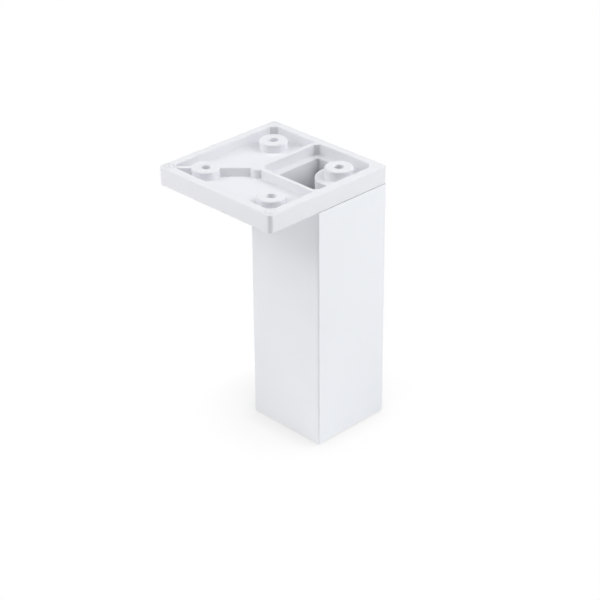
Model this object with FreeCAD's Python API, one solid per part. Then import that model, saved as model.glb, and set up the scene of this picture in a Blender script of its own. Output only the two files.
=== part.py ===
import FreeCAD, Part
import math
import os
from FreeCAD import Vector

# Adjustable cabinet leg: a square tube with an offset moulded mounting plate on top
# and a screw-adjusted glide hidden in its lower end.
# The origin is on the floor, under the middle of the tube, with the foot screwed fully in.
# Z points up. The plate's corner over the tube lies towards +X and -Y.
# All sizes are in millimetres.

# Overall sizes
OVERALL_HEIGHT = 120.0
LEG_SIDE = 40.0
PLATE_SIDE = 67.0
PLATE_THICKNESS = 8.0
FLOOR_GAP = 1.0

# Square tube
TUBE_WALL = 1.5
TUBE_CORNER_RADIUS = 0.6
TUBE_EDGE_BREAK = 0.25

# Mounting plate: tray
PLATE_FLOOR_THICKNESS = 3.6
PLATE_CORNER_RADIUS = 2.0
PLATE_TUBE_CORNER_RADIUS = 1.0
RIM_WALL = 4.0
RIM_OUTER_ROUNDING = 0.8
RIM_INNER_ROUNDING = 0.4
RIM_INNER_CORNER_CUT = 2.4
RIM_RISE = 0.5
MOULD_DRAFT = 2.0

# Mounting plate: ribs
BOX_RIB_THICKNESS = 2.0
BOX_RIB_INSET = 1.25
BRACE_RIB_THICKNESS = 2.0
RIB_EDGE_ROUNDING = 0.4
JUNCTION_POST_DIAMETER = 6.2
BOX_CORNER_FILL = 1.9
BOX_FLOOR_DROP = 0.6

# Mounting plate: screw bosses
SCREW_INSET = 14.0
SCREW_HOLE_DIAMETER = 4.0
SCREW_HOLE_MOUTH = 0.35
SCREW_HEAD_DIAMETER = 8.0
BOSS_DIAMETER = 12.0
BOSS_EDGE_CHAMFER = 0.4
COLUMN_DIAMETER = 20.0
COLUMN_BORE_DIAMETER = 14.4

# Mounting plate: marks left by the mould's ejector pins
EJECTOR_PIN_DIAMETER = 4.6
EJECTOR_PIN_INSET = 3.2
EJECTOR_RING_WIDTH = 0.35
EJECTOR_DIMPLE_DIAMETER = 0.9
EJECTOR_MARK_DEPTH = 0.2

# Mounting plate: plug that enters the tube
PLUG_DEPTH = 20.0
PLUG_HOLLOW = 26.5
PLUG_HOLLOW_CORNER_RADIUS = 1.0
PLUG_HOLLOW_EDGE_CHAMFER = 0.3
PLUG_WALL = 2.2
PLUG_RIB_COUNT = 4
PLUG_RIB_THICKNESS = 1.6
PLUG_LEAD_IN = 1.0

# End insert that holds the nut in the tube's lower end
INSERT_HEIGHT = 20.0
INSERT_WALL = 1.8
INSERT_WEB = 3.0
INSERT_BOSS_DIAMETER = 24.0
INSERT_RIB_THICKNESS = 1.5
INSERT_RIB_DROP = 2.0
INSERT_CORNER_RADIUS = 1.0
CRUSH_RIB_WIDTH = 1.2
CRUSH_RIB_SPREAD = 20.0
NUT_POCKET_START = 5.0
NUT_RECESS_DIAMETER = 19.6

# Nut
NUT_ACROSS_FLATS = 16.0
NUT_HEIGHT = 8.0
NUT_CORNER_CHAMFER = 0.8

# Spindle, a screw whose lower end is captive in the glide pad
THREAD_DIAMETER = 9.9
SPINDLE_TOP = 43.0
SPINDLE_TIP_CHAMFER = 1.0
COLLAR_ACROSS_FLATS = 14.0
COLLAR_HEIGHT = 5.0
JOURNAL_DIAMETER = 9.0
HEAD_DIAMETER = 11.0
HEAD_HEIGHT = 2.9
SOCKET_ACROSS_FLATS = 5.0
SOCKET_DEPTH = 4.0

# Glide pad
PAD_HEIGHT = 7.0
PAD_SOLE = 1.5
PAD_SOLE_HOLE_DIAMETER = 6.5
PAD_HUB_DIAMETER = 18.0
PAD_RIM_WALL = 2.0
PAD_RECESS_DEPTH = 4.0
PAD_RIB_COUNT = 8
PAD_RIB_THICKNESS = 1.4
PAD_EDGE_CHAMFER = 0.8

# Clearances: radial for round pieces, a side for the others
RUNNING_CLEARANCE = 0.05
HEAD_CLEARANCE = 0.2
HEAD_END_PLAY = 0.1
NUT_CLEARANCE = 0.1
INSERT_CLEARANCE = 0.15
BORE_CLEARANCE = 0.35
PAD_TO_INSERT_GAP = 1.0
PAD_TO_TUBE_CLEARANCE = 1.5
COLLAR_TO_PAD_GAP = 0.3
TUBE_SEAM_GAP = 0.3

# Levels
PLATE_BOTTOM = OVERALL_HEIGHT - PLATE_THICKNESS
TRAY_FLOOR = PLATE_BOTTOM + PLATE_FLOOR_THICKNESS
BOX_FLOOR = TRAY_FLOOR - BOX_FLOOR_DROP
PLUG_BOTTOM = PLATE_BOTTOM - PLUG_DEPTH
TUBE_TOP = PLATE_BOTTOM - TUBE_SEAM_GAP
RIB_TOP = OVERALL_HEIGHT - RIM_RISE
INSERT_BOTTOM = PAD_HEIGHT + PAD_TO_INSERT_GAP
INSERT_TOP = INSERT_BOTTOM + INSERT_HEIGHT
NUT_BOTTOM = INSERT_BOTTOM + NUT_POCKET_START
NUT_TOP = NUT_BOTTOM + NUT_HEIGHT
HEAD_TOP = PAD_SOLE + HEAD_HEIGHT
COLLAR_BOTTOM = PAD_HEIGHT + COLLAR_TO_PAD_GAP
COLLAR_TOP = COLLAR_BOTTOM + COLLAR_HEIGHT

# Plan positions, all worked out from the tube's middle
LEG_HALF = LEG_SIDE / 2
TUBE_INNER_HALF = LEG_HALF - TUBE_WALL
PLATE_RIGHT = LEG_HALF
PLATE_LEFT = PLATE_RIGHT - PLATE_SIDE
PLATE_FRONT = -LEG_HALF
PLATE_BACK = PLATE_FRONT + PLATE_SIDE
PLATE_MIDDLE = Vector((PLATE_LEFT + PLATE_RIGHT) / 2, (PLATE_FRONT + PLATE_BACK) / 2, 0)
SCREW_SPACING = PLATE_SIDE - 2 * SCREW_INSET
PAD_RADIUS = TUBE_INNER_HALF - PAD_TO_TUBE_CLEARANCE
BOX_RIB_LINE = LEG_HALF - BOX_RIB_INSET - BOX_RIB_THICKNESS / 2
DRAFT_SLOPE = math.tan(math.radians(MOULD_DRAFT))
THREAD_BORE_RADIUS = THREAD_DIAMETER / 2 + RUNNING_CLEARANCE

# Boolean operations need a little overlap between the pieces that they join
OVERLAP = 0.5
RIB_FOOT = BOX_FLOOR - OVERLAP


def prism(points, bottom, top):
    """Upright prism over a closed plan outline of (x, y) points."""
    corners = [Vector(x, y, bottom) for x, y in points]
    wire = Part.makePolygon(corners + corners[:1])
    return Part.Face(wire).extrude(Vector(0, 0, top - bottom))


def block(x_low, x_high, y_low, y_high, bottom, top):
    """Plain box between two corners."""
    size = (x_high - x_low, y_high - y_low, top - bottom)
    return Part.makeBox(*size, Vector(x_low, y_low, bottom))


def cylinder(diameter, bottom, top, x=0.0, y=0.0):
    """Upright cylinder."""
    return Part.makeCylinder(diameter / 2, top - bottom, Vector(x, y, bottom))


def upright_edges(shape, places=None):
    """Straight edges along Z: all of them, or those at the given plan places."""
    found = []
    for edge in shape.Edges:
        box = edge.BoundBox
        if max(box.XLength, box.YLength) > 1e-6:
            continue
        if places is None or any(math.hypot(box.XMin - x, box.YMin - y) < 1e-6 for x, y in places):
            found.append(edge)
    return found


def edges_at(shape, level):
    """Edges that lie wholly at one height."""
    boxes = [(edge, edge.BoundBox) for edge in shape.Edges]
    return [edge for edge, box in boxes if max(abs(box.ZMin - level), abs(box.ZMax - level)) < 1e-6]


def square_bar(half, radius, bottom, top):
    """Square bar about the tube's middle line, with rounded upright edges."""
    bar = block(-half, half, -half, half, bottom, top)
    return bar.makeFillet(radius, upright_edges(bar))


def hexagon_bar(across_flats, bottom, top):
    """Hexagonal bar about the tube's middle line, with flats facing +Y and -Y."""
    reach = across_flats / math.sqrt(3)
    angles = [math.radians(60 * step) for step in range(6)]
    return prism([(reach * math.cos(a), reach * math.sin(a)) for a in angles], bottom, top)


def around(shape, count):
    """Copies of a shape, evenly turned about Z."""
    copies = []
    for step in range(count):
        copy = shape.copy()
        copy.rotate(Vector(0, 0, 0), Vector(0, 0, 1), 360 * step / count)
        copies.append(copy)
    return copies


def cut_corner_outline(inset, corner_cut):
    """Plan outline inside the plate's edge by inset, with its four corners cut at 45 degrees."""
    left, right = PLATE_LEFT + inset, PLATE_RIGHT - inset
    front, back = PLATE_FRONT + inset, PLATE_BACK - inset
    return [
        (left + corner_cut, front), (right - corner_cut, front),
        (right, front + corner_cut), (right, back - corner_cut),
        (right - corner_cut, back), (left + corner_cut, back),
        (left, back - corner_cut), (left, front + corner_cut),
    ]


def flared_prism(lower, upper, bottom, top):
    """Solid between two plan outlines with the same number of corners, with flat slanting sides."""
    low = [Vector(x, y, bottom) for x, y in lower]
    high = [Vector(x, y, top) for x, y in upper]
    loops = [low + low[:1], high + high[:1]]
    for this, after in zip(range(len(low)), list(range(1, len(low))) + [0]):
        loops.append([low[this], low[after], high[after], high[this], low[this]])
    faces = [Part.Face(Part.makePolygon(loop)) for loop in loops]
    return Part.Solid(Part.Shell(faces))


def tray_pocket():
    """Space inside the rim. It widens upwards by the mould's draft."""
    flare = (OVERALL_HEIGHT - TRAY_FLOOR) * DRAFT_SLOPE
    lower = cut_corner_outline(RIM_WALL + flare, RIM_INNER_CORNER_CUT)
    upper = cut_corner_outline(RIM_WALL, RIM_INNER_CORNER_CUT)
    return flared_prism(lower, upper, TRAY_FLOOR, OVERALL_HEIGHT)


def tray():
    """Square tray with a rounded rim. Its corner over the tube is the sharpest."""
    body = block(PLATE_LEFT, PLATE_RIGHT, PLATE_FRONT, PLATE_BACK, PLATE_BOTTOM, OVERALL_HEIGHT)
    free_corners = [(PLATE_LEFT, PLATE_FRONT), (PLATE_LEFT, PLATE_BACK), (PLATE_RIGHT, PLATE_BACK)]
    body = body.makeFillet(PLATE_CORNER_RADIUS, upright_edges(body, free_corners))
    body = body.makeFillet(PLATE_TUBE_CORNER_RADIUS, upright_edges(body, [(PLATE_RIGHT, PLATE_FRONT)]))
    body = body.makeFillet(RIM_OUTER_ROUNDING, edges_at(body, OVERALL_HEIGHT))
    body = body.cut(tray_pocket())
    rim_middle = PLATE_SIDE / 2 - RIM_WALL / 2
    inner_edges = []
    for edge in edges_at(body, OVERALL_HEIGHT):
        offset = edge.CenterOfMass - PLATE_MIDDLE
        if max(abs(offset.x), abs(offset.y)) < rim_middle:
            inner_edges.append(edge)
    return body.makeFillet(RIM_INNER_ROUNDING, inner_edges)


def rib(start, end, thickness):
    """Drafted rib on the tray's floor between two plan points. The rim rises above it."""
    run = end - start
    foot = thickness / 2 + (RIB_TOP - TRAY_FLOOR) * DRAFT_SLOPE
    section = [
        Vector(0, -foot, RIB_FOOT), Vector(0, foot, RIB_FOOT),
        Vector(0, foot, TRAY_FLOOR), Vector(0, thickness / 2, RIB_TOP),
        Vector(0, -thickness / 2, RIB_TOP), Vector(0, -foot, TRAY_FLOOR),
    ]
    bar = Part.Face(Part.makePolygon(section + section[:1])).extrude(Vector(run.Length, 0, 0))
    long_edges = [e for e in edges_at(bar, RIB_TOP) if e.Length > run.Length - 1e-6]
    bar = bar.makeFillet(RIB_EDGE_ROUNDING, long_edges)
    bar.rotate(Vector(0, 0, 0), Vector(0, 0, 1), math.degrees(math.atan2(run.y, run.x)))
    bar.translate(start)
    return bar


def round_post(diameter, edge_chamfer):
    """Round post on the tray's floor, as high as the ribs, with a chamfered top edge."""
    post = cylinder(diameter, RIB_FOOT, RIB_TOP)
    return post.makeChamfer(edge_chamfer, edges_at(post, RIB_TOP))


def screw_points():
    """Plan positions of the four screws. The first one is over the tube."""
    reach = SCREW_SPACING / 2
    signs = ((1, -1), (1, 1), (-1, 1), (-1, -1))
    return [PLATE_MIDDLE + Vector(reach * sx, reach * sy, 0) for sx, sy in signs]


def screw_bosses():
    """Four equal bosses, as high as the ribs."""
    post = round_post(BOSS_DIAMETER, BOSS_EDGE_CHAMFER)
    return [post.translated(point) for point in screw_points()]


def screw_cutters():
    """Through holes for the four screws, countersunk from below and chamfered at the top."""
    hole_radius = SCREW_HOLE_DIAMETER / 2
    head_radius = SCREW_HEAD_DIAMETER / 2
    depth = head_radius - hole_radius
    cutters = []
    for point in screw_points():
        below = Vector(point.x, point.y, PLATE_BOTTOM)
        mouth = Vector(point.x, point.y, RIB_TOP - SCREW_HOLE_MOUTH)
        cutters.append(cylinder(SCREW_HOLE_DIAMETER, PLATE_BOTTOM, OVERALL_HEIGHT, point.x, point.y))
        cutters.append(Part.makeCone(head_radius, hole_radius, depth, below))
        cutters.append(Part.makeCone(hole_radius, hole_radius + SCREW_HOLE_MOUTH, SCREW_HOLE_MOUTH, mouth))
    return cutters


def tray_ribs():
    """Two ribs that box in the tube's corner, a diagonal brace and the post where they meet."""
    junction = Vector(-BOX_RIB_LINE, BOX_RIB_LINE, 0)
    right_end = Vector(PLATE_RIGHT - RIM_WALL / 2, BOX_RIB_LINE, 0)
    front_end = Vector(-BOX_RIB_LINE, PLATE_FRONT + RIM_WALL / 2, 0)
    corner_inset = RIM_WALL + RIM_INNER_CORNER_CUT / 4
    brace_end = Vector(PLATE_LEFT + corner_inset, PLATE_BACK - corner_inset, 0)
    post = round_post(JUNCTION_POST_DIAMETER, RIB_EDGE_ROUNDING)
    return [
        rib(junction, right_end, BOX_RIB_THICKNESS),
        rib(junction, front_end, BOX_RIB_THICKNESS),
        rib(brace_end, junction, BRACE_RIB_THICKNESS),
        post.translated(junction),
    ]


def box_corner_fills():
    """Upright 45-degree fills in the two corners where the box ribs meet the rim."""
    rim_face = PLATE_RIGHT - RIM_WALL
    rib_face = BOX_RIB_LINE - BOX_RIB_THICKNESS / 2
    outline = [
        (rim_face - BOX_CORNER_FILL, rib_face), (rim_face, rib_face - BOX_CORNER_FILL),
        (rim_face + OVERLAP, rib_face - BOX_CORNER_FILL), (rim_face + OVERLAP, rib_face + OVERLAP),
        (rim_face - BOX_CORNER_FILL, rib_face + OVERLAP),
    ]
    mirrored = [(-y, -x) for x, y in outline]
    return [prism(points, RIB_FOOT, RIB_TOP) for points in (outline, mirrored)]


def box_pocket():
    """Space that makes the floor inside the box a little deeper than the rest of the tray's."""
    rim_foot = PLATE_RIGHT - RIM_WALL - (OVERALL_HEIGHT - TRAY_FLOOR) * DRAFT_SLOPE
    outline = [
        (-BOX_RIB_LINE, -rim_foot), (rim_foot - RIM_INNER_CORNER_CUT, -rim_foot),
        (rim_foot, RIM_INNER_CORNER_CUT - rim_foot), (rim_foot, BOX_RIB_LINE),
        (-BOX_RIB_LINE, BOX_RIB_LINE),
    ]
    return prism(outline, BOX_FLOOR, TRAY_FLOOR)


def ejector_marks():
    """Shallow ring and centre dimple at each of the rim's three corners away from the tube."""
    left, right = PLATE_LEFT + EJECTOR_PIN_INSET, PLATE_RIGHT - EJECTOR_PIN_INSET
    front, back = PLATE_FRONT + EJECTOR_PIN_INSET, PLATE_BACK - EJECTOR_PIN_INSET
    low = OVERALL_HEIGHT - EJECTOR_MARK_DEPTH
    cutters = []
    for x, y in ((left, front), (left, back), (right, back)):
        disc = cylinder(EJECTOR_PIN_DIAMETER, low, OVERALL_HEIGHT, x, y)
        core = cylinder(EJECTOR_PIN_DIAMETER - 2 * EJECTOR_RING_WIDTH, low, OVERALL_HEIGHT, x, y)
        cutters.append(disc.cut(core))
        cutters.append(cylinder(EJECTOR_DIMPLE_DIAMETER, low, OVERALL_HEIGHT, x, y))
    return cutters


def plug_ribs():
    """Upright ribs that stand out from the plug's four walls and grip the tube."""
    wall_face = PLUG_HOLLOW / 2 + PLUG_WALL
    lead_top = PLUG_BOTTOM + 2 * PLUG_LEAD_IN
    section = [
        Vector(wall_face - OVERLAP, 0, PLATE_BOTTOM), Vector(TUBE_INNER_HALF, 0, PLATE_BOTTOM),
        Vector(TUBE_INNER_HALF, 0, lead_top), Vector(TUBE_INNER_HALF - PLUG_LEAD_IN, 0, PLUG_BOTTOM),
        Vector(wall_face - OVERLAP, 0, PLUG_BOTTOM),
    ]
    face = Part.Face(Part.makePolygon(section + section[:1]))
    pitch = 2 * (wall_face - PLUG_RIB_THICKNESS) / (PLUG_RIB_COUNT - 1)
    ribs = []
    for step in range(PLUG_RIB_COUNT):
        offset = (step - (PLUG_RIB_COUNT - 1) / 2) * pitch
        fin = face.translated(Vector(0, offset - PLUG_RIB_THICKNESS / 2, 0))
        ribs += around(fin.extrude(Vector(0, PLUG_RIB_THICKNESS, 0)), 4)
    return ribs


def plug_shell():
    """Square shell of the plug, joined to the tray's floor."""
    half = PLUG_HOLLOW / 2 + PLUG_WALL
    radius = PLUG_HOLLOW_CORNER_RADIUS + PLUG_WALL
    return square_bar(half, radius, PLUG_BOTTOM, PLATE_BOTTOM + OVERLAP)


def column():
    """Round column under the screw boss that stands over the tube, filled out into the plug's corner."""
    at = screw_points()[0]
    half = PLUG_HOLLOW / 2
    post = cylinder(COLUMN_DIAMETER, PLUG_BOTTOM, BOX_FLOOR, at.x, at.y)
    corner = block(at.x, half + OVERLAP, -half - OVERLAP, at.y, PLUG_BOTTOM, BOX_FLOOR)
    return post.fuse(corner)


def hollow_floor_edges(body):
    """Edges round the plug's hollow where it opens in the box's floor."""
    reach = PLUG_HOLLOW / 2 + 0.001
    middles = [(edge, edge.CenterOfMass) for edge in edges_at(body, BOX_FLOOR)]
    return [edge for edge, middle in middles if max(abs(middle.x), abs(middle.y)) < reach]


def mounting_plate():
    """Moulded plate: tray, ribs, screw bosses and the hollow plug, all one piece."""
    hollow = square_bar(PLUG_HOLLOW / 2, PLUG_HOLLOW_CORNER_RADIUS, PLUG_BOTTOM, TRAY_FLOOR)
    screw = screw_points()[0]
    driver_bore = cylinder(COLUMN_BORE_DIAMETER, PLUG_BOTTOM, PLATE_BOTTOM, screw.x, screw.y)
    body = tray().fuse([plug_shell()] + plug_ribs())
    body = body.cut([hollow, box_pocket()]).fuse(column()).removeSplitter()
    body = body.makeChamfer(PLUG_HOLLOW_EDGE_CHAMFER, hollow_floor_edges(body))
    body = body.fuse(screw_bosses() + tray_ribs() + box_corner_fills())
    body = body.cut([driver_bore] + screw_cutters() + ejector_marks())
    return body.removeSplitter()


def leg_tube():
    """Square tube with rounded edges, deburred at both ends."""
    inner_radius = max(TUBE_CORNER_RADIUS - TUBE_WALL, 0.5)
    outer = square_bar(LEG_HALF, TUBE_CORNER_RADIUS, FLOOR_GAP, TUBE_TOP)
    outer = outer.makeChamfer(TUBE_EDGE_BREAK, edges_at(outer, FLOOR_GAP) + edges_at(outer, TUBE_TOP))
    inner = square_bar(TUBE_INNER_HALF, inner_radius, FLOOR_GAP, TUBE_TOP)
    return outer.cut(inner)


def crush_ribs():
    """Low upright ribs, two on each side of the insert, that touch the tube's inside."""
    face = TUBE_INNER_HALF - INSERT_CLEARANCE
    ribs = []
    for side in (-1, 1):
        middle = side * CRUSH_RIB_SPREAD / 2
        low, high = middle - CRUSH_RIB_WIDTH / 2, middle + CRUSH_RIB_WIDTH / 2
        strip = block(face - OVERLAP, TUBE_INNER_HALF, low, high, INSERT_BOTTOM + OVERLAP, INSERT_TOP)
        ribs += around(strip, 4)
    return ribs


def end_insert():
    """Moulded cup pressed into the tube, with a ribbed central boss around the nut."""
    half = TUBE_INNER_HALF - INSERT_CLEARANCE
    shell = square_bar(half, INSERT_CORNER_RADIUS, INSERT_BOTTOM, INSERT_TOP)
    cup_radius = max(INSERT_CORNER_RADIUS - INSERT_WALL, 0.4)
    cup = square_bar(half - INSERT_WALL, cup_radius, INSERT_BOTTOM + INSERT_WEB, INSERT_TOP)
    boss = cylinder(INSERT_BOSS_DIAMETER, INSERT_BOTTOM, INSERT_TOP)
    rib_top = INSERT_TOP - INSERT_RIB_DROP
    thick = INSERT_RIB_THICKNESS / 2
    straight = block(0, half - OVERLAP, -thick, thick, INSERT_BOTTOM, rib_top)
    slanted = block(0, (half - OVERLAP) * math.sqrt(2), -thick, thick, INSERT_BOTTOM, rib_top)
    slanted.rotate(Vector(0, 0, 0), Vector(0, 0, 1), 45)
    body = shell.cut(cup).fuse([boss] + around(straight, 4) + around(slanted, 4) + crush_ribs())
    pocket = hexagon_bar(NUT_ACROSS_FLATS + 2 * NUT_CLEARANCE, NUT_BOTTOM - OVERLAP, NUT_TOP)
    recess = cylinder(NUT_RECESS_DIAMETER, INSERT_BOTTOM, NUT_BOTTOM)
    bore = cylinder(THREAD_DIAMETER + 2 * BORE_CLEARANCE, INSERT_BOTTOM, INSERT_TOP)
    return body.cut([pocket, recess, bore]).removeSplitter()


def thread_nut():
    """Hexagon nut with chamfered corners at its lower end. The upper end is flat in the insert."""
    bar = hexagon_bar(NUT_ACROSS_FLATS, NUT_BOTTOM, NUT_TOP)
    corner = NUT_ACROSS_FLATS / math.sqrt(3)
    slope = NUT_CORNER_CHAMFER / math.tan(math.radians(30))
    outline = [
        Vector(0, 0, NUT_BOTTOM), Vector(corner - slope + OVERLAP, 0, NUT_BOTTOM),
        Vector(corner + OVERLAP, 0, NUT_BOTTOM + NUT_CORNER_CHAMFER), Vector(corner + OVERLAP, 0, NUT_TOP),
        Vector(0, 0, NUT_TOP),
    ]
    face = Part.Face(Part.makePolygon(outline + outline[:1]))
    barrel = face.revolve(Vector(0, 0, 0), Vector(0, 0, 1), 360)
    return bar.common(barrel).cut(cylinder(2 * THREAD_BORE_RADIUS, NUT_BOTTOM, NUT_TOP))


def spindle():
    """Adjusting screw: captive head, journal, hexagon collar and thread, with a key socket below."""
    shank = cylinder(THREAD_DIAMETER, COLLAR_TOP, SPINDLE_TOP)
    shank = shank.makeChamfer(SPINDLE_TIP_CHAMFER, edges_at(shank, SPINDLE_TOP))
    collar = hexagon_bar(COLLAR_ACROSS_FLATS, COLLAR_BOTTOM, COLLAR_TOP)
    journal = cylinder(JOURNAL_DIAMETER, HEAD_TOP, COLLAR_BOTTOM)
    head = cylinder(HEAD_DIAMETER, PAD_SOLE, HEAD_TOP)
    socket = hexagon_bar(SOCKET_ACROSS_FLATS, PAD_SOLE, PAD_SOLE + SOCKET_DEPTH)
    return shank.fuse([collar, journal, head]).cut(socket).removeSplitter()


def glide_pad():
    """Moulded disc that stands on the floor and swivels on the spindle's head."""
    disc = cylinder(2 * PAD_RADIUS, 0, PAD_HEIGHT)
    disc = disc.makeChamfer(PAD_EDGE_CHAMFER, edges_at(disc, 0))
    recess_floor = PAD_HEIGHT - PAD_RECESS_DEPTH
    recess = cylinder(2 * (PAD_RADIUS - PAD_RIM_WALL), recess_floor, PAD_HEIGHT)
    recess = recess.cut(cylinder(PAD_HUB_DIAMETER, recess_floor, PAD_HEIGHT))
    inner, outer = PAD_HUB_DIAMETER / 2 - OVERLAP, PAD_RADIUS - PAD_RIM_WALL + OVERLAP
    thick = PAD_RIB_THICKNESS / 2
    spoke = block(inner, outer, -thick, thick, recess_floor - OVERLAP, PAD_HEIGHT - OVERLAP)
    body = disc.cut(recess).fuse(around(spoke, PAD_RIB_COUNT))
    cavity_top = HEAD_TOP + HEAD_END_PLAY
    cavity = cylinder(HEAD_DIAMETER + 2 * HEAD_CLEARANCE, PAD_SOLE, cavity_top)
    lip_bore = cylinder(JOURNAL_DIAMETER + 2 * RUNNING_CLEARANCE, PAD_SOLE, PAD_HEIGHT)
    key_hole = cylinder(PAD_SOLE_HOLE_DIAMETER, 0, PAD_SOLE)
    return body.cut([cavity, lip_bore, key_hole]).removeSplitter()


def main():
    """Writes one STEP file for each piece."""
    os.makedirs("parts", exist_ok=True)
    pieces = {
        "mounting_plate": mounting_plate,
        "leg_tube": leg_tube,
        "end_insert": end_insert,
        "thread_nut": thread_nut,
        "spindle": spindle,
        "glide_pad": glide_pad,
    }
    for name, make in pieces.items():
        make().exportStep(os.path.join("parts", name + ".step"))


main()
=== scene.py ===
"""Looks of an adjustable cabinet leg: its finishes, the thread of its screw and a studio."""

import logging
import math
from dataclasses import dataclass, field
from enum import Enum

import bmesh
import bpy
from mathutils import Matrix, Vector


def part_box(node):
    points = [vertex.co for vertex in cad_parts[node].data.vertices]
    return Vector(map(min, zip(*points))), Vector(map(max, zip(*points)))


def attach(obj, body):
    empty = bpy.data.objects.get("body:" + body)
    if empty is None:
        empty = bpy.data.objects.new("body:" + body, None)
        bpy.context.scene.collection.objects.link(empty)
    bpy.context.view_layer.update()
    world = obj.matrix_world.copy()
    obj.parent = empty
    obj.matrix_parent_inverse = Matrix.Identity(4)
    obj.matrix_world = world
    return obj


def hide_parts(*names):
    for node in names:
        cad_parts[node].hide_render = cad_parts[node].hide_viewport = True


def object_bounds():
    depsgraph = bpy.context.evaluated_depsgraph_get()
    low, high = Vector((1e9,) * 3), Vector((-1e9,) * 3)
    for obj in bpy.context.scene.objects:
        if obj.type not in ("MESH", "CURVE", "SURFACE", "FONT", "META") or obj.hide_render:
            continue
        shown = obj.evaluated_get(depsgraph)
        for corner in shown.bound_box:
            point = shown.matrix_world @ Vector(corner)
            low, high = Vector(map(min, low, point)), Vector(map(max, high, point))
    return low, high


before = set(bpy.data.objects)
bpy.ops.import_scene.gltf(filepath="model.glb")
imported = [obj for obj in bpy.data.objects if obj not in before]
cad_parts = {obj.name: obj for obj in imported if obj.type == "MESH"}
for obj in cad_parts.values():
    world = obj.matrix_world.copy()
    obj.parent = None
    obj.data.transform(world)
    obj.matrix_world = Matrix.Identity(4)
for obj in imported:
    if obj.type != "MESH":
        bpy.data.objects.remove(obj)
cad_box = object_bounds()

log = logging.getLogger("cabinet_leg")

Colour = tuple[float, float, float]
Source = bpy.types.NodeSocket | float
Paint = bpy.types.NodeSocket | Colour

MILLIMETRE = 0.001

WHITE: Colour = (1.0, 1.0, 1.0)

# Places of the sockets of Blender's Mix node, which has a set of them for each kind of data.
MIX_COLOUR_LOW, MIX_COLOUR_HIGH, MIX_COLOUR_RESULT = 6, 7, 2
MIX_VALUE_LOW, MIX_VALUE_HIGH, MIX_VALUE_RESULT = 2, 3, 0


class Node(Enum):
    """The CAD nodes of the leg."""

    MOUNTING_PLATE = "mounting_plate"
    LEG_TUBE = "leg_tube"
    END_INSERT = "end_insert"
    THREAD_NUT = "thread_nut"
    SPINDLE = "spindle"
    GLIDE_PAD = "glide_pad"


class Body(Enum):
    """The bodies that pieces of the scene ride on."""

    PAD = "pad"
    SPINDLE = "spindle"


class Slot(Enum):
    """The record's material slots."""

    PLATE_PLASTIC = "plate_plastic"
    TUBE_PAINT = "tube_paint"
    INSERT_PLASTIC = "insert_plastic"
    ZINC_STEEL = "zinc_steel"
    PAD_PLASTIC = "pad_plastic"


class NodeBench:
    """Lays out the nodes of one tree and links them."""

    def __init__(self, tree: bpy.types.NodeTree) -> None:
        """Starts on a tree and clears what it holds.

        Args:
            tree: The shader or geometry tree to fill.
        """
        self.tree = tree
        tree.nodes.clear()

    def node(self, kind: str, **settings: object) -> bpy.types.Node:
        """Adds a node.

        Args:
            kind: The node's type name.
            settings: Properties to set on it.

        Returns:
            The new node.
        """
        made = self.tree.nodes.new(kind)
        for name, value in settings.items():
            setattr(made, name, value)
        return made

    def feed(self, socket: bpy.types.NodeSocket, source: Source | Paint) -> None:
        """Links a socket to another one, or sets its value.

        Args:
            socket: The input to feed.
            source: An output socket, a plain value or a colour.
        """
        if isinstance(source, bpy.types.NodeSocket):
            self.tree.links.new(source, socket)
        elif isinstance(source, tuple):
            socket.default_value = (*source, 1.0)
        else:
            socket.default_value = source

    def math(self, operation: str, first: Source, second: Source = 0.0) -> bpy.types.NodeSocket:
        """Adds one step of arithmetic.

        Args:
            operation: The Math node's operation.
            first: Its first value.
            second: Its second value, where it takes one.

        Returns:
            The result's socket.
        """
        made = self.node("ShaderNodeMath", operation=operation)
        self.feed(made.inputs[0], first)
        if len(made.inputs) > 1:
            self.feed(made.inputs[1], second)
        return made.outputs[0]

    def clamp(self, value: Source) -> bpy.types.NodeSocket:
        """Limits a value to the range from 0 to 1."""
        return self.math("MINIMUM", self.math("MAXIMUM", value, 0.0), 1.0)

    def blend_colours(self, factor: Source, low: Paint, high: Paint) -> bpy.types.NodeSocket:
        """Mixes two colours.

        Args:
            factor: 0 gives the low colour and 1 the high one.
            low: The first colour.
            high: The second colour.

        Returns:
            The mixed colour's socket.
        """
        mix = self.node("ShaderNodeMix", data_type="RGBA")
        self.feed(mix.inputs["Factor"], factor)
        self.feed(mix.inputs[MIX_COLOUR_LOW], low)
        self.feed(mix.inputs[MIX_COLOUR_HIGH], high)
        return mix.outputs[MIX_COLOUR_RESULT]

    def blend_values(self, factor: Source, low: Source, high: Source) -> bpy.types.NodeSocket:
        """Mixes two values.

        Args:
            factor: 0 gives the low value and 1 the high one.
            low: The first value.
            high: The second value.

        Returns:
            The mixed value's socket.
        """
        mix = self.node("ShaderNodeMix", data_type="FLOAT")
        self.feed(mix.inputs["Factor"], factor)
        self.feed(mix.inputs[MIX_VALUE_LOW], low)
        self.feed(mix.inputs[MIX_VALUE_HIGH], high)
        return mix.outputs[MIX_VALUE_RESULT]


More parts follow.
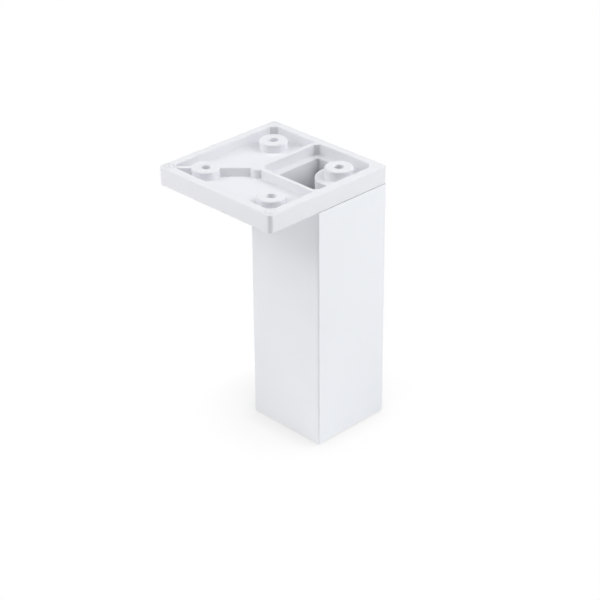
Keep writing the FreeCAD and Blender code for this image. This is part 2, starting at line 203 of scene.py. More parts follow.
@dataclass
class EffectGroups:
    """Shader node groups for the finishes. Each one is built when it is first asked for."""

    grain_detail: float = 3.0
    grain_roughness: float = 0.6
    patch_spread: float = 40.0
    patch_detail: float = 2.0
    middle_tone: float = 0.5
    line_stretch: tuple[float, float, float] = (1.0, 1.0, 0.004)
    line_detail: float = 2.0
    bevel_samples: int = 8
    made: dict[str, bpy.types.NodeTree] = field(default_factory=dict)

    def bare_and_shade_parts(self) -> bpy.types.NodeTree:
        """The inside and the cut ends of an upright square tube, taken as bare metal, whose
        darker colour also paints shade into the hollow and the seam.

        Returns:
            A group with inputs Vector, Half Width, Bottom and Top, and the output Mask.
        """
        if "bare_and_shade_parts" in self.made:
            return self.made["bare_and_shade_parts"]
        tree = self._new(
            "bare_and_shade_parts",
            [("Vector", "NodeSocketVector"), ("Half Width", "NodeSocketFloat"),
             ("Bottom", "NodeSocketFloat"), ("Top", "NodeSocketFloat")],
            [("Mask", "NodeSocketFloat")],
        )
        bench = NodeBench(tree)
        inlet = bench.node("NodeGroupInput")
        outlet = bench.node("NodeGroupOutput")
        place = bench.node("ShaderNodeSeparateXYZ")
        bench.feed(place.inputs[0], inlet.outputs["Vector"])
        along_x = bench.math("ABSOLUTE", place.outputs[0])
        along_y = bench.math("ABSOLUTE", place.outputs[1])
        reach = bench.math("MAXIMUM", along_x, along_y)
        inside = bench.math("LESS_THAN", reach, inlet.outputs["Half Width"])
        lower_end = bench.math("LESS_THAN", place.outputs[2], inlet.outputs["Bottom"])
        upper_end = bench.math("GREATER_THAN", place.outputs[2], inlet.outputs["Top"])
        ends = bench.math("MAXIMUM", lower_end, upper_end)
        bench.feed(outlet.inputs["Mask"], bench.math("MAXIMUM", inside, ends))
        return tree

    def surface_grain(self) -> bpy.types.NodeTree:
        """Fine grain of a moulded or coated surface, with slow unevenness over it.

        Returns:
            A group with inputs Vector, Scale and Unevenness, and outputs Height and Tone.
        """
        if "surface_grain" in self.made:
            return self.made["surface_grain"]
        tree = self._new(
            "surface_grain",
            [("Vector", "NodeSocketVector"), ("Scale", "NodeSocketFloat"),
             ("Unevenness", "NodeSocketFloat")],
            [("Height", "NodeSocketFloat"), ("Tone", "NodeSocketFloat")],
        )
        bench = NodeBench(tree)
        inlet = bench.node("NodeGroupInput")
        outlet = bench.node("NodeGroupOutput")
        fine = bench.node("ShaderNodeTexNoise")
        bench.feed(fine.inputs["Vector"], inlet.outputs["Vector"])
        bench.feed(fine.inputs["Scale"], inlet.outputs["Scale"])
        bench.feed(fine.inputs["Detail"], self.grain_detail)
        bench.feed(fine.inputs["Roughness"], self.grain_roughness)
        slow = bench.node("ShaderNodeTexNoise")
        slow_scale = bench.math("DIVIDE", inlet.outputs["Scale"], self.patch_spread)
        bench.feed(slow.inputs["Vector"], inlet.outputs["Vector"])
        bench.feed(slow.inputs["Scale"], slow_scale)
        bench.feed(slow.inputs["Detail"], self.patch_detail)
        centred = bench.math("SUBTRACT", slow.outputs[0], self.middle_tone)
        uneven = bench.math("MULTIPLY", centred, inlet.outputs["Unevenness"])
        tone = bench.clamp(bench.math("ADD", uneven, self.middle_tone))
        bench.feed(outlet.inputs["Height"], fine.outputs[0])
        bench.feed(outlet.inputs["Tone"], tone)
        return tree

    def soft_edge(self) -> bpy.types.NodeTree:
        """Small rounding of every edge, and where the edges are, as a mask that the finishes also
        use for a painted highlight.

        Returns:
            A group with inputs Radius and Sharpness, and outputs Normal and Mask.
        """
        if "soft_edge" in self.made:
            return self.made["soft_edge"]
        tree = self._new(
            "soft_edge",
            [("Radius", "NodeSocketFloat"), ("Sharpness", "NodeSocketFloat")],
            [("Normal", "NodeSocketVector"), ("Mask", "NodeSocketFloat")],
        )
        bench = NodeBench(tree)
        inlet = bench.node("NodeGroupInput")
        outlet = bench.node("NodeGroupOutput")
        bevel = bench.node("ShaderNodeBevel", samples=self.bevel_samples)
        bench.feed(bevel.inputs["Radius"], inlet.outputs["Radius"])
        geometry = bench.node("ShaderNodeNewGeometry")
        cosine = bench.node("ShaderNodeVectorMath", operation="DOT_PRODUCT")
        bench.feed(cosine.inputs[0], bevel.outputs[0])
        bench.feed(cosine.inputs[1], geometry.outputs["Normal"])
        turned = bench.math("SUBTRACT", 1.0, cosine.outputs["Value"])
        mask = bench.math("MULTIPLY", turned, inlet.outputs["Sharpness"])
        bench.feed(outlet.inputs["Normal"], bevel.outputs[0])
        bench.feed(outlet.inputs["Mask"], bench.clamp(mask))
        return tree

    def draw_lines(self) -> bpy.types.NodeTree:
        """Faint lines along Z, as a die leaves them on a drawn section.

        Returns:
            A group with inputs Vector and Scale, and the output Height.
        """
        if "draw_lines" in self.made:
            return self.made["draw_lines"]
        tree = self._new(
            "draw_lines",
            [("Vector", "NodeSocketVector"), ("Scale", "NodeSocketFloat")],
            [("Height", "NodeSocketFloat")],
        )
        bench = NodeBench(tree)
        inlet = bench.node("NodeGroupInput")
        outlet = bench.node("NodeGroupOutput")
        stretch = bench.node("ShaderNodeVectorMath", operation="MULTIPLY")
        bench.feed(stretch.inputs[0], inlet.outputs["Vector"])
        stretch.inputs[1].default_value = self.line_stretch
        noise = bench.node("ShaderNodeTexNoise")
        bench.feed(noise.inputs["Vector"], stretch.outputs[0])
        bench.feed(noise.inputs["Scale"], inlet.outputs["Scale"])
        bench.feed(noise.inputs["Detail"], self.line_detail)
        bench.feed(outlet.inputs["Height"], noise.outputs[0])
        return tree

    def _new(self, name: str, inputs: list[tuple[str, str]],
             outputs: list[tuple[str, str]]) -> bpy.types.NodeTree:
        """Makes an empty shader group with its sockets.

        Args:
            name: The group's name.
            inputs: Name and socket type of each input.
            outputs: Name and socket type of each output.

        Returns:
            The new group.
        """
        tree = bpy.data.node_groups.new(name, "ShaderNodeTree")
        for label, kind in inputs:
            tree.interface.new_socket(label, in_out="INPUT", socket_type=kind)
        for label, kind in outputs:
            tree.interface.new_socket(label, in_out="OUTPUT", socket_type=kind)
        self.made[name] = tree
        return tree


@dataclass(frozen=True)
class BareMetalAndShade:
    """Where a square tube is taken as bare metal, and its darker colour there, which also paints
    shade into the hollow and the seam. The lengths are in metres.
    """

    colour: Colour
    half_width: float
    bottom: float
    top: float


@dataclass(frozen=True)
class Finish:
    """A surface finish, made of grain, softened edges with a painted highlight on them, and two
    close tones.

    The sizes are in millimetres. The colours are linear.
    """

    name: str
    light: Colour
    dark: Colour
    # edge is a painted highlight: the lighter colour that every edge, outward or inward, takes
    # through the edge mask.
    edge: Colour
    roughness: float
    edge_roughness: float
    grain_size: float
    grain_depth: float
    unevenness: float
    edge_radius: float
    edge_sharpness: float = 3.0
    metallic: float = 0.0
    line_depth: float = 0.0
    line_size: float = 0.6

    def material(self, groups: EffectGroups, bare_and_shade: BareMetalAndShade | None = None) -> bpy.types.Material:
        """Builds the material.

        Args:
            groups: The shared shader groups.
            bare_and_shade: The bare places, whose darker colour also paints shade, where the
                piece has them.

        Returns:
            The finished material.
        """
        made = bpy.data.materials.new(self.name)
        made.use_nodes = True
        bench = NodeBench(made.node_tree)
        output = bench.node("ShaderNodeOutputMaterial")
        surface = bench.node("ShaderNodeBsdfPrincipled")
        place = bench.node("ShaderNodeTexCoord").outputs["Object"]
        grain = bench.node("ShaderNodeGroup", node_tree=groups.surface_grain())
        bench.feed(grain.inputs["Vector"], place)
        bench.feed(grain.inputs["Scale"], 1.0 / (self.grain_size * MILLIMETRE))
        bench.feed(grain.inputs["Unevenness"], self.unevenness)
        edges = bench.node("ShaderNodeGroup", node_tree=groups.soft_edge())
        bench.feed(edges.inputs["Radius"], self.edge_radius * MILLIMETRE)
        bench.feed(edges.inputs["Sharpness"], self.edge_sharpness)
        colour = bench.blend_colours(grain.outputs["Tone"], self.dark, self.light)
        # Painted highlight: the edges take the lighter edge colour.
        colour = bench.blend_colours(edges.outputs["Mask"], colour, self.edge)
        # Darker bare metal inside the tube and on its cut ends, which is also painted shade in
        # the hollow and the seam.
        if bare_and_shade:
            colour = self._uncover_and_shade(bench, groups, place, colour, bare_and_shade)
        bench.feed(surface.inputs["Base Color"], colour)
        polish = bench.blend_values(edges.outputs["Mask"], self.roughness, self.edge_roughness)
        bench.feed(surface.inputs["Roughness"], polish)
        bench.feed(surface.inputs["Metallic"], self.metallic)
        bump = bench.node("ShaderNodeBump")
        bench.feed(bump.inputs["Distance"], 1.0)
        bench.feed(bump.inputs["Height"], self._relief(bench, groups, place, grain))
        bench.feed(bump.inputs["Normal"], edges.outputs["Normal"])
        bench.feed(surface.inputs["Normal"], bump.outputs[0])
        bench.feed(output.inputs["Surface"], surface.outputs[0])
        return made

    def _uncover_and_shade(self, bench: NodeBench, groups: EffectGroups, place: bpy.types.NodeSocket,
                 coated: bpy.types.NodeSocket, bare_and_shade: BareMetalAndShade) -> bpy.types.NodeSocket:
        """Puts a darker bare-metal colour where a tube is taken to have no coating, which also
        paints shade into its hollow and seam.

        Args:
            bench: The material's bench.
            groups: The shared shader groups.
            place: The Object coordinates.
            coated: The coating's colour.
            bare_and_shade: The bare places, whose darker colour also paints shade.

        Returns:
            The colour with the darker bare places in it.
        """
        places = bench.node("ShaderNodeGroup", node_tree=groups.bare_and_shade_parts())
        bench.feed(places.inputs["Vector"], place)
        bench.feed(places.inputs["Half Width"], bare_and_shade.half_width)
        bench.feed(places.inputs["Bottom"], bare_and_shade.bottom)
        bench.feed(places.inputs["Top"], bare_and_shade.top)
        return bench.blend_colours(places.outputs["Mask"], coated, bare_and_shade.colour)

    def _relief(self, bench: NodeBench, groups: EffectGroups, place: bpy.types.NodeSocket,
                grain: bpy.types.Node) -> bpy.types.NodeSocket:
        """Adds up the heights of the grain and of the draw lines.

        Args:
            bench: The material's bench.
            groups: The shared shader groups.
            place: The Object coordinates.
            grain: The grain's group node.

        Returns:
            The height in metres.
        """
        height = bench.math("MULTIPLY", grain.outputs["Height"], self.grain_depth * MILLIMETRE)
        if not self.line_depth:
            return height
        lines = bench.node("ShaderNodeGroup", node_tree=groups.draw_lines())
        bench.feed(lines.inputs["Vector"], place)
        bench.feed(lines.inputs["Scale"], 1.0 / (self.line_size * MILLIMETRE))
        drawn = bench.math("MULTIPLY", lines.outputs["Height"], self.line_depth * MILLIMETRE)
        return bench.math("ADD", height, drawn)


# The edge colour of each finish is lighter than its tones: a painted highlight along its edges.
MOULDED_WHITE = Finish(
    name="moulded_white",
    light=(0.815, 0.815, 0.848), dark=(0.795, 0.795, 0.828), edge=(0.87, 0.87, 0.89),
    roughness=0.55, edge_roughness=0.42, grain_size=0.35, grain_depth=0.012,
    unevenness=0.8, edge_radius=0.25,
)
COATED_WHITE = Finish(
    name="coated_white",
    light=(0.862, 0.871, 0.903), dark=(0.842, 0.851, 0.883), edge=(0.915, 0.92, 0.935),
    roughness=0.50, edge_roughness=0.40, grain_size=0.5, grain_depth=0.01,
    unevenness=0.8, edge_radius=0.15, line_depth=0.004,
)
MOULDED_BLACK = Finish(
    name="moulded_black",
    light=(0.016, 0.016, 0.017), dark=(0.009, 0.009, 0.010), edge=(0.03, 0.03, 0.032),
    roughness=0.5, edge_roughness=0.38, grain_size=0.4, grain_depth=0.02,
    unevenness=1.2, edge_radius=0.2,
)
MOULDED_GREY = Finish(
    name="moulded_grey",
    light=(0.075, 0.077, 0.08), dark=(0.055, 0.056, 0.06), edge=(0.11, 0.11, 0.115),
    roughness=0.55, edge_roughness=0.42, grain_size=0.4, grain_depth=0.025,
    unevenness=1.2, edge_radius=0.25,
)
ZINC_PLATED = Finish(
    name="zinc_plated",
    light=(0.62, 0.64, 0.66), dark=(0.50, 0.52, 0.55), edge=(0.74, 0.75, 0.76),
    roughness=0.34, edge_roughness=0.26, grain_size=0.6, grain_depth=0.008,
    unevenness=1.8, edge_radius=0.12, metallic=1.0,
)


@dataclass(frozen=True)
class Wardrobe:
    """The finish of each material slot, and the darker metal colour where the tube is taken to
    have no coat, which also paints shade into its hollow and seam.
    """

    finishes: dict[Slot, Finish] = field(default_factory=lambda: {
        Slot.PLATE_PLASTIC: MOULDED_WHITE,
        Slot.TUBE_PAINT: COATED_WHITE,
        Slot.INSERT_PLASTIC: MOULDED_BLACK,
        Slot.ZINC_STEEL: ZINC_PLATED,
        Slot.PAD_PLASTIC: MOULDED_GREY,
    })
    # Colour of the bare inside and cut ends, darker than the coat: also painted shade in the
    # hollow and the seam.
    bare_and_shade_colour: Colour = (0.30, 0.30, 0.31)
    coat_reach: float = 0.4 * MILLIMETRE
    cut_depth: float = 0.04 * MILLIMETRE

    def materials(self, groups: EffectGroups) -> dict[Slot, bpy.types.Material]:
        """Builds one material for each slot.

        Args:
            groups: The shared shader groups.

        Returns:
            The materials by slot.
        """
        made = {}
        for slot, finish in self.finishes.items():
            bare_and_shade = self._bare_and_shaded_tube() if slot is Slot.TUBE_PAINT else None
            made[slot] = finish.material(groups, bare_and_shade)
        return made

    def _bare_and_shaded_tube(self) -> BareMetalAndShade:
        """Reads from the tube where its inside and its cut ends lie.

        Returns:
            The tube's bare places, whose darker colour also paints shade.
        """
        low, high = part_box(Node.LEG_TUBE.value)
        points = [vertex.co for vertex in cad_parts[Node.LEG_TUBE.value].data.vertices]
        wall_inside = min(max(abs(point.x), abs(point.y)) for point in points)
        return BareMetalAndShade(
            colour=self.bare_and_shade_colour,
            half_width=wall_inside + self.coat_reach,
            bottom=low[2] + self.cut_depth,
            top=high[2] - self.cut_depth,
        )


def dress(node: Node, material: bpy.types.Material) -> None:
    """Gives a CAD node its finish.

    Args:
        node: The node to dress.
        material: The finish's material.
    """
    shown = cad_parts[node.value]
    if not shown.material_slots:
        shown.data.materials.append(material)
    for place in shown.material_slots:
        place.material = material
    log.info("%s has the finish %s", node.value, material.name)


@dataclass
class MouldedHead:
    """The moulded plate on top, with its rim, ribs, bosses and plug."""

    materials: dict[Slot, bpy.types.Material]

    def build(self) -> None:
        """Dresses the moulding."""
        dress(Node.MOUNTING_PLATE, self.materials[Slot.PLATE_PLASTIC])


@dataclass
class TubeLeg:
    """The square tube, the black insert in its lower end and the nut in that."""

    materials: dict[Slot, bpy.types.Material]

    def build(self) -> None:
        """Dresses the tube, the insert and the nut that the insert holds."""
        dress(Node.LEG_TUBE, self.materials[Slot.TUBE_PAINT])
        dress(Node.END_INSERT, self.materials[Slot.INSERT_PLASTIC])
        dress(Node.THREAD_NUT, self.materials[Slot.ZINC_STEEL])


@dataclass
class ThreadCutter:
    """Geometry tree of a right-hand threaded shank, closed at both ends.

    A sheet is wound round the axis. The rows of its mesh follow the thread's helix, so that
    crests and roots are clean lines. It starts and ends some turns past the shank, and its
    points there are drawn in to the axis, which closes the ends. The sizes are in metres, and
    the flat crest and root are shares of the pitch.
    """

    pitch: float
    depth: float
    rows_a_pitch: int = 8
    steps: int = 48
    tip_chamfer: float = 1.0 * MILLIMETRE
    weld_distance: float = 0.002 * MILLIMETRE
    crest_share: float = 1 / 8
    root_share: float = 1 / 8
    spare_turns: int = 3
    turns_below: float = 1.5
    nearly_a_row: float = 0.999

    def build(self, name: str, radius: float, bottom: float, top: float,
              material: bpy.types.Material) -> bpy.types.Object:
        """Makes the shank as a plain mesh.

        Args:
            name: The new object's name.
            radius: Radius over the crests.
            bottom: Height of its lower end.
            top: Height of its tip.
            material: Its finish.

        Returns:
            An object at the origin that holds the mesh.
        """
        tree = self._tree(material)
        holder = bpy.data.objects.new(name, bpy.data.meshes.new(name))
        bpy.context.scene.collection.objects.link(holder)
        modifier = holder.modifiers.new("thread", "NODES")
        modifier.node_group = tree
        turns = math.ceil((top - bottom) / self.pitch + self.spare_turns)
        values = {
            "Radius": radius, "Depth": self.depth, "Pitch": self.pitch,
            "Bottom": bottom, "Top": top, "Tip Chamfer": self.tip_chamfer,
            "Rows": turns * self.rows_a_pitch, "Steps": self.steps,
        }
        for item in tree.interface.items_tree:
            if item.item_type == "SOCKET" and item.in_out == "INPUT" and item.name in values:
                modifier[item.identifier] = values[item.name]
        bpy.context.view_layer.update()
        evaluated = holder.evaluated_get(bpy.context.evaluated_depsgraph_get())
        mesh = bpy.data.meshes.new_from_object(evaluated)
        holder.modifiers.remove(modifier)
        holder.data = mesh
        return holder

    def _tree(self, material: bpy.types.Material) -> bpy.types.NodeTree:
        """Builds the geometry tree.

        Args:
            material: The finish that the tree sets.

        Returns:
            The tree, with named inputs for the thread's sizes.
        """
        tree = bpy.data.node_groups.new("threaded_shank", "GeometryNodeTree")
        for label in ("Radius", "Depth", "Pitch", "Bottom", "Top", "Tip Chamfer"):
            tree.interface.new_socket(label, in_out="INPUT", socket_type="NodeSocketFloat")
        for label in ("Rows", "Steps"):
            tree.interface.new_socket(label, in_out="INPUT", socket_type="NodeSocketInt")
        tree.interface.new_socket("Geometry", in_out="OUTPUT", socket_type="NodeSocketGeometry")
        bench = NodeBench(tree)
        size = bench.node("NodeGroupInput").outputs
        sheet = bench.node("GeometryNodeMeshGrid")
        bench.feed(sheet.inputs["Size X"], 1.0)
        bench.feed(sheet.inputs["Size Y"], 1.0)
        bench.feed(sheet.inputs["Vertices X"], bench.math("ADD", size["Steps"], 1.0))
        bench.feed(sheet.inputs["Vertices Y"], bench.math("ADD", size["Rows"], 1.0))
        place = bench.node("ShaderNodeSeparateXYZ")
        bench.feed(place.inputs[0], bench.node("GeometryNodeInputPosition").outputs[0])
        turn = bench.math("ADD", place.outputs[0], 0.5)
        share = bench.math("ADD", place.outputs[1], 0.5)
        row = bench.math("ROUND", bench.math("MULTIPLY", share, size["Rows"]))
        height, radius = self._thread_form(bench, size, turn, row)
        angle = bench.math("MULTIPLY", turn, math.tau)
        across = bench.math("MULTIPLY", radius, bench.math("COSINE", angle))
        along = bench.math("MULTIPLY", radius, bench.math("SINE", angle))
        point = bench.node("ShaderNodeCombineXYZ")
        for socket, value in zip(point.inputs, (across, along, height)):
            bench.feed(socket, value)
        wrap = bench.node("GeometryNodeSetPosition")
        bench.feed(wrap.inputs["Geometry"], sheet.outputs["Mesh"])
        bench.feed(wrap.inputs["Position"], point.outputs[0])
        weld = bench.node("GeometryNodeMergeByDistance")
        bench.feed(weld.inputs["Geometry"], wrap.outputs[0])
        bench.feed(weld.inputs["Distance"], self.weld_distance)
        realise = bench.node("GeometryNodeRealizeInstances")
        bench.feed(realise.inputs[0], weld.outputs[0])
        paint = bench.node("GeometryNodeSetMaterial")
        bench.feed(paint.inputs["Geometry"], realise.outputs[0])
        paint.inputs["Material"].default_value = material
        bench.feed(bench.node("NodeGroupOutput").inputs[0], paint.outputs[0])
        return tree

    def _thread_form(self, bench: NodeBench, size: bpy.types.NodeOutputs, turn: Source,
                     row: Source) -> tuple[bpy.types.NodeSocket, bpy.types.NodeSocket]:
        """Works out how high and how far from the axis each point of the sheet lies.

        Args:
            bench: The tree's bench.
            size: The sizes that the tree is given.
            turn: Share of a full turn at the point.
            row: The point's row, counted along the axis.

        Returns:
            The height and the radius.
        """
        crest_half, root_half = self.crest_share / 2, self.root_share / 2
        row_height = bench.math("DIVIDE", size["Pitch"], float(self.rows_a_pitch))
        share = bench.math("DIVIDE", row, float(self.rows_a_pitch))
        turns = bench.math("SUBTRACT", bench.math("ADD", share, turn), self.turns_below)
        free = bench.math("ADD", size["Bottom"], bench.math("MULTIPLY", turns, size["Pitch"]))
        held = bench.math("MINIMUM", bench.math("MAXIMUM", free, size["Bottom"]), size["Top"])
        phase = bench.math("FRACT", bench.math("ADD", share, 0.5 - crest_half))
        off_crest = bench.math("ABSOLUTE", bench.math("SUBTRACT", phase, 0.5))
        fall = bench.math("SUBTRACT", off_crest, crest_half)
        sunk = bench.clamp(bench.math("DIVIDE", fall, 0.5 - crest_half - root_half))
        cut = bench.math("SUBTRACT", size["Radius"], bench.math("MULTIPLY", sunk, size["Depth"]))
        to_tip = bench.math("SUBTRACT", size["Top"], held)
        cone = bench.math("ADD", size["Radius"], to_tip)
        taper = bench.math("SUBTRACT", cone, size["Tip Chamfer"])
        limited = bench.math("MINIMUM", cut, taper)
        overshoot = bench.math("ABSOLUTE", bench.math("SUBTRACT", free, held))
        last_row = bench.math("MULTIPLY", row_height, self.nearly_a_row)
        on_shank = bench.math("LESS_THAN", overshoot, last_row)
        return held, bench.math("MULTIPLY", limited, on_shank)


@dataclass
class AdjustingFoot:
    """The adjusting screw with a real thread, and the pad that it stands in."""

    materials: dict[Slot, bpy.types.Material]
    pitch: float = 1.5 * MILLIMETRE
    thread_depth: float = 0.92 * MILLIMETRE
    sunk_in_collar: float = 0.6 * MILLIMETRE
    weld_distance: float = 0.001 * MILLIMETRE
    collar_share: float = 0.9
    sharp_angle: float = math.radians(35)

    def build(self) -> None:
        """Dresses the pad and puts a threaded screw in the place of the plain one."""
        dress(Node.GLIDE_PAD, self.materials[Slot.PAD_PLASTIC])
        collar_top, shank_radius, tip = self._shank_sizes()
        lower_end = self._lower_end(collar_top)
        cutter = ThreadCutter(self.pitch, self.thread_depth)
        steel = self.materials[Slot.ZINC_STEEL]
        bottom = collar_top - self.sunk_in_collar
        shank = cutter.build("screw_shank", shank_radius, bottom, tip, steel)
        piece = self._join(lower_end, shank)
        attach(piece, Body.SPINDLE.value)
        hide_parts(Node.SPINDLE.value)
        log.info("%s has %d faces", piece.name, len(piece.data.polygons))

    def _shank_sizes(self) -> tuple[float, float, float]:
        """Reads the plain screw's sizes from its CAD node.

        Returns:
            Height of the collar's top, radius of the shank and height of the tip.
        """
        points = [vertex.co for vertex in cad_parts[Node.SPINDLE.value].data.vertices]
        reach = [math.hypot(point.x, point.y) for point in points]
        collar = self.collar_share * max(reach)
        collar_top = max(point.z for point, out in zip(points, reach) if out > collar)
        above = collar_top + self.weld_distance
        shank_radius = max(out for point, out in zip(points, reach) if point.z > above)
        return collar_top, shank_radius, max(point.z for point in points)

    def _lower_end(self, collar_top: float) -> bmesh.types.BMesh:
        """Copies the head, journal and collar of the plain screw, without its shank.

        Args:
            collar_top: Height of the collar's top.

        Returns:
            A closed mesh of those parts.
        """
        mesh = bmesh.new()
        mesh.from_mesh(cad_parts[Node.SPINDLE.value].data)
        bmesh.ops.remove_doubles(mesh, verts=mesh.verts, dist=self.weld_distance)
        above = collar_top + self.weld_distance
        shank = [face for face in mesh.faces if max(vertex.co.z for vertex in face.verts) > above]
        bmesh.ops.delete(mesh, geom=shank, context="FACES")
        rim = [edge for edge in mesh.edges if edge.is_boundary]
        bmesh.ops.contextual_create(mesh, geom=rim)
        return mesh

    def _join(self, lower_end: bmesh.types.BMesh, shank: bpy.types.Object) -> bpy.types.Object:
        """Puts the lower end and the shank into one piece.

        Args:
            lower_end: Mesh of the head, journal and collar.
            shank: Object that holds the threaded shank.

        Returns:
            The piece, with its place in its mesh.
        """
        lower_end.from_mesh(shank.data)
        bpy.data.objects.remove(shank)
        mesh = bpy.data.meshes.new("adjusting_screw")
        bmesh.ops.recalc_face_normals(lower_end, faces=lower_end.faces)
        lower_end.to_mesh(mesh)
        lower_end.free()
        # The copied corners keep the normals they had before their doubles were merged.
        stored_normals = mesh.attributes.get("custom_normal")
        if stored_normals:
            mesh.attributes.remove(stored_normals)
        mesh.materials.clear()
        mesh.materials.append(self.materials[Slot.ZINC_STEEL])
        for face in mesh.polygons:
            face.material_index = 0
        mesh.shade_smooth()
        mesh.set_sharp_from_angle(angle=self.sharp_angle)
        piece = bpy.data.objects.new("adjusting_screw", mesh)
        bpy.context.scene.collection.objects.link(piece)
        return piece


@dataclass(frozen=True)
class SoftBox:
    """A square studio light that points at the leg.

    The azimuth is where it stands as seen from above, in degrees to the right of the camera's
    side. Its brightness is that of a surface that shows as white at 1. One that isn't mirrored
    lights the leg but doesn't show in its gloss, where it would turn pale rims pure white.
    """

    name: str
    azimuth: float
    elevation: float
    brightness: float
    distance: float = 1.0
    side: float = 0.8
    colour: Colour = WHITE
    mirrored: bool = True

    def build(self, aim: Vector, camera_bearing: float) -> None:
        """Hangs the light.

        Args:
            aim: The point that it faces.
            camera_bearing: Angle of the camera's side about Z, in degrees.
        """
        lamp = bpy.data.lights.new(self.name, "AREA")
        lamp.shape = "SQUARE"
        lamp.size = self.side
        lamp.energy = self.brightness * math.pi * self.side ** 2
        lamp.color = self.colour
        bearing = math.radians(camera_bearing + self.azimuth)
        height = math.radians(self.elevation)
        level = math.cos(height)
        away = Vector((math.cos(bearing) * level, math.sin(bearing) * level, math.sin(height)))
        holder = bpy.data.objects.new(self.name, lamp)
        holder.location = aim + away * self.distance
        holder.rotation_mode = "QUATERNION"
        holder.rotation_quaternion = (-away).to_track_quat("-Z", "Y")
        holder.visible_camera = False
        holder.visible_glossy = self.mirrored
        bpy.context.scene.collection.objects.link(holder)


@dataclass(frozen=True)
class FloorShade:
    """A soft painted shadow on the floor round the leg's foot, drawn from ambient occlusion.

    It takes up to its strength from the floor's brightness, within its reach in metres. A lean
    to the right or to the front, as the camera sees them, puts more of it on the opposite side.
    """

    strength: float
    reach: float
    to_right: float
    to_front: float


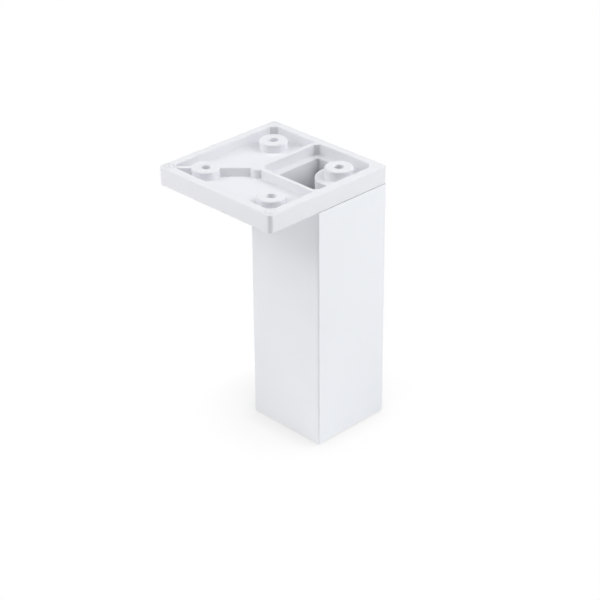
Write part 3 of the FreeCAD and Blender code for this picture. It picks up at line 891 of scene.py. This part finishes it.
@dataclass
class Studio:
    """A white floor, a plain world, soft boxes and the camera.

    Distances are in metres, angles in degrees, and the lens and its sensor in millimetres.
    """

    camera_place: Vector = field(default_factory=lambda: Vector((-0.50744, -0.50545, 0.45012)))
    camera_heading: float = 44.473
    camera_fall: float = 28.796
    camera_roll: float = 0.406
    lens: float = 114.02
    sensor_width: float = 36.0
    nearest_view: float = 0.01
    floor_side: float = 12.0
    floor_drop: float = 0.02 * MILLIMETRE
    floor_colour: Colour = (0.92, 0.92, 0.92)
    shades: tuple[FloorShade, ...] = (
        FloorShade(strength=0.21, reach=0.03, to_right=0.7, to_front=0.8),
        FloorShade(strength=0.13, reach=0.009, to_right=0.3, to_front=0.1),
    )
    shade_samples: int = 16
    ambient: Colour = (0.02, 0.02, 0.02)
    boxes: tuple[SoftBox, ...] = (
        SoftBox("softbox_left_low", azimuth=-88.0, elevation=22.0, brightness=2.04,
                mirrored=False),
        SoftBox("softbox_left_high", azimuth=-85.0, elevation=50.0, brightness=2.39,
                mirrored=False),
        SoftBox("softbox_right_low", azimuth=88.0, elevation=22.0, brightness=2.06,
                colour=(0.98, 1.0, 1.0), mirrored=False),
        SoftBox("softbox_right_high", azimuth=85.0, elevation=50.0, brightness=3.04,
                colour=(0.985, 1.0, 1.0), mirrored=False),
        SoftBox("softbox_front_high", azimuth=-30.0, elevation=55.0, brightness=0.35),
        SoftBox("softbox_front_low", azimuth=0.0, elevation=10.0, brightness=0.35,
                distance=1.2),
    )

    def build(self, aim: Vector) -> None:
        """Sets up everything round the leg.

        Args:
            aim: The middle of the leg.
        """
        ahead = 90.0 - self.camera_heading
        for box in self.boxes:
            box.build(aim, ahead + 180.0)
        self._world()
        floor = self._floor()
        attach(floor, Body.PAD.value)
        self._camera()
        bpy.context.scene.view_settings.view_transform = "Standard"
        log.info("the studio has %d soft boxes", len(self.boxes))

    def _seen(self, bench: NodeBench) -> bpy.types.NodeSocket:
        """Finds the rays that show a surface to the viewer, straight on or by a reflection.

        Args:
            bench: The bench of the world or of the floor's material.

        Returns:
            A value that is 1 for those rays.
        """
        path = bench.node("ShaderNodeLightPath").outputs
        mirrored = bench.math("MAXIMUM", path["Is Glossy Ray"], path["Is Transmission Ray"])
        return bench.math("MAXIMUM", path["Is Camera Ray"], mirrored)

    def _world(self) -> None:
        """Makes a world that looks white and lights the leg weakly."""
        world = bpy.data.worlds.new("studio_world")
        world.use_nodes = True
        bench = NodeBench(world.node_tree)
        output = bench.node("ShaderNodeOutputWorld")
        background = bench.node("ShaderNodeBackground")
        colour = bench.blend_colours(self._seen(bench), self.ambient, WHITE)
        bench.feed(background.inputs["Color"], colour)
        bench.feed(output.inputs["Surface"], background.outputs[0])
        bpy.context.scene.world = world

    def _open_share(self, bench: NodeBench) -> bpy.types.NodeSocket:
        """Gives the share of the floor's brightness that the leg's painted shadow leaves at each
        point.

        Args:
            bench: The bench of the floor's material.

        Returns:
            A value that is 1 on the open floor.
        """
        heading = math.radians(self.camera_heading)
        right = Vector((math.cos(heading), -math.sin(heading), 0.0))
        front = Vector((-math.sin(heading), -math.cos(heading), 0.0))
        up = Vector((0.0, 0.0, 1.0))
        hidden: Source = 0.0
        for shade in self.shades:
            leaning = (up + right * shade.to_right + front * shade.to_front).normalized()
            facing = bench.node("ShaderNodeCombineXYZ")
            for socket, value in zip(facing.inputs, leaning):
                bench.feed(socket, value)
            cover = bench.node("ShaderNodeAmbientOcclusion", samples=self.shade_samples)
            bench.feed(cover.inputs["Distance"], shade.reach)
            bench.feed(cover.inputs["Normal"], facing.outputs[0])
            covered = bench.math("SUBTRACT", 1.0, cover.outputs["AO"])
            hidden = bench.math("ADD", hidden, bench.math("MULTIPLY", covered, shade.strength))
        return bench.math("SUBTRACT", 1.0, hidden)

    def _floor(self) -> bpy.types.Object:
        """Makes the floor that the pad stands on.

        It looks white but for a soft painted shadow round the foot, lights the leg as a white
        floor does, and isn't there for a view from below.

        Returns:
            The floor.
        """
        half, level = self.floor_side / 2, -self.floor_drop
        corners = [(x, y, level) for x, y in
                   ((-half, -half), (half, -half), (half, half), (-half, half))]
        mesh = bpy.data.meshes.new("studio_floor")
        mesh.from_pydata(corners, [], [(0, 1, 2, 3)])
        mesh.materials.append(self._floor_material())
        floor = bpy.data.objects.new("studio_floor", mesh)
        bpy.context.scene.collection.objects.link(floor)
        return floor

    def _floor_material(self) -> bpy.types.Material:
        """Builds the floor's material.

        Returns:
            The material.
        """
        material = bpy.data.materials.new("studio_floor")
        material.use_nodes = True
        bench = NodeBench(material.node_tree)
        output = bench.node("ShaderNodeOutputMaterial")
        matt = bench.node("ShaderNodeBsdfDiffuse")
        bench.feed(matt.inputs["Color"], self.floor_colour)
        glow = bench.node("ShaderNodeEmission")
        # The glow that the camera and reflections see is darkened by the painted shadow round the
        # foot.
        bench.feed(glow.inputs["Strength"], self._open_share(bench))
        upper = bench.node("ShaderNodeMixShader")
        bench.feed(upper.inputs[0], self._seen(bench))
        bench.feed(upper.inputs[1], matt.outputs[0])
        bench.feed(upper.inputs[2], glow.outputs[0])
        either = bench.node("ShaderNodeMixShader")
        bench.feed(either.inputs[0], bench.node("ShaderNodeNewGeometry").outputs["Backfacing"])
        bench.feed(either.inputs[1], upper.outputs[0])
        bench.feed(either.inputs[2], bench.node("ShaderNodeBsdfTransparent").outputs[0])
        bench.feed(output.inputs["Surface"], either.outputs[0])
        return material

    def _camera(self) -> None:
        """Places the camera where the photograph was taken from."""
        heading, fall = math.radians(self.camera_heading), math.radians(self.camera_fall)
        level = math.cos(fall)
        ahead = Vector((math.sin(heading) * level, math.cos(heading) * level, -math.sin(fall)))
        turned = ahead.to_track_quat("-Z", "Y").to_matrix().to_4x4()
        rolled = Matrix.Rotation(math.radians(-self.camera_roll), 4, "Z")
        data = bpy.data.cameras.new("studio_camera")
        data.lens = self.lens
        data.sensor_width = self.sensor_width
        data.clip_start = self.nearest_view
        camera = bpy.data.objects.new("studio_camera", data)
        camera.matrix_world = Matrix.Translation(self.camera_place) @ turned @ rolled
        bpy.context.scene.collection.objects.link(camera)
        bpy.context.scene.camera = camera


def main() -> None:
    """Builds the leg's looks and its studio in order."""
    logging.basicConfig(level=logging.INFO, format="%(name)s: %(message)s")
    materials = Wardrobe().materials(EffectGroups())
    MouldedHead(materials).build()
    TubeLeg(materials).build()
    AdjustingFoot(materials).build()
    low, high = cad_box
    Studio().build((low + high) / 2)


if __name__ == "__main__":
    main()
